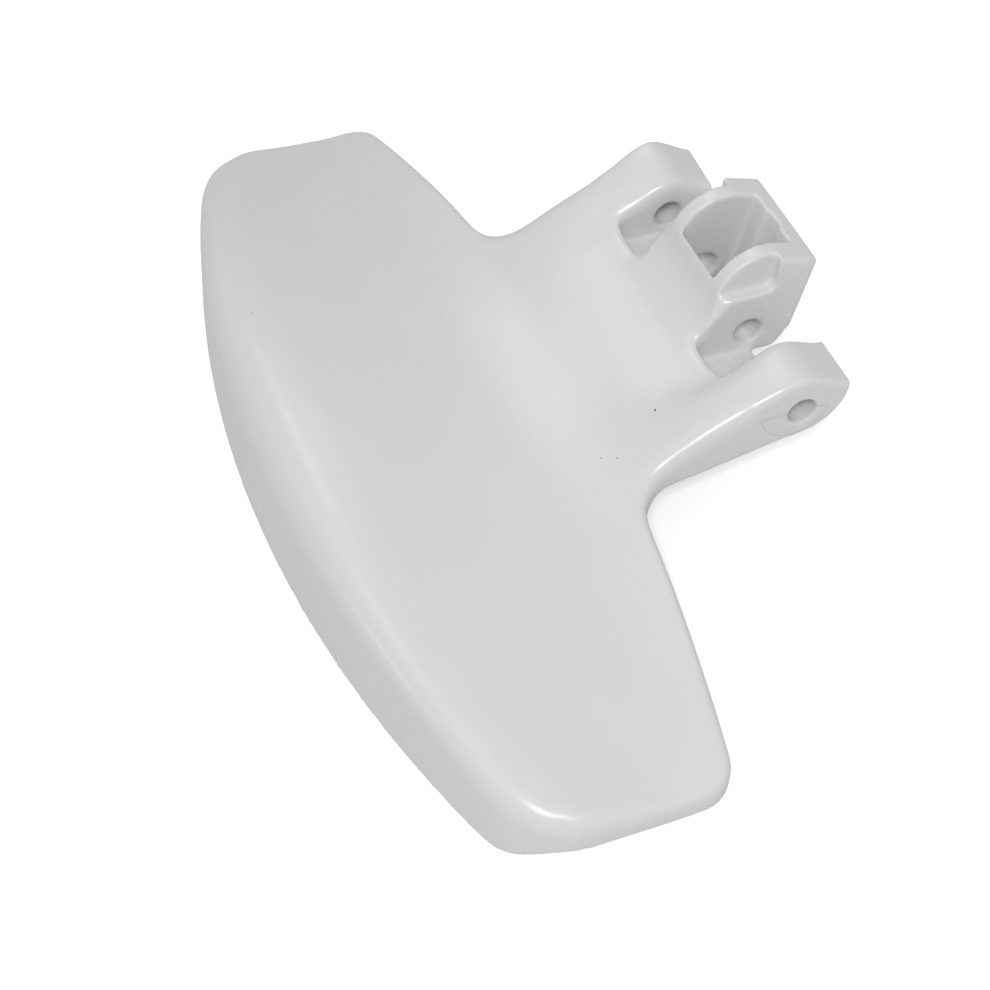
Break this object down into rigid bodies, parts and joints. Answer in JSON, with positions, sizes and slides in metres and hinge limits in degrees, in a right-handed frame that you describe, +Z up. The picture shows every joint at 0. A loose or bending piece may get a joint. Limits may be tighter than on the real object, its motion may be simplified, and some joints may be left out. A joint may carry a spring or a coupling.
{
  "type": "washing machine door handle",
  "caption": "White moulded door handle of a front-loading washing machine: curved grip with a rolled lip, neck, hinge ears and a hollow latch block.",
  "frame": {"origin": "centre of the footprint, on the surface the handle lies on", "axes": "+X along the hinge pin and the length of the grip, +Y from the lip towards the hinge, +Z up out of the face"},
  "size_m": [0.133, 0.0816, 0.023],
  "materials": {
    "white_gloss_plastic": "gloss"
  },
  "bodies": {
    "root": {"handle": "white_gloss_plastic"}
  },
  "joints": []
}
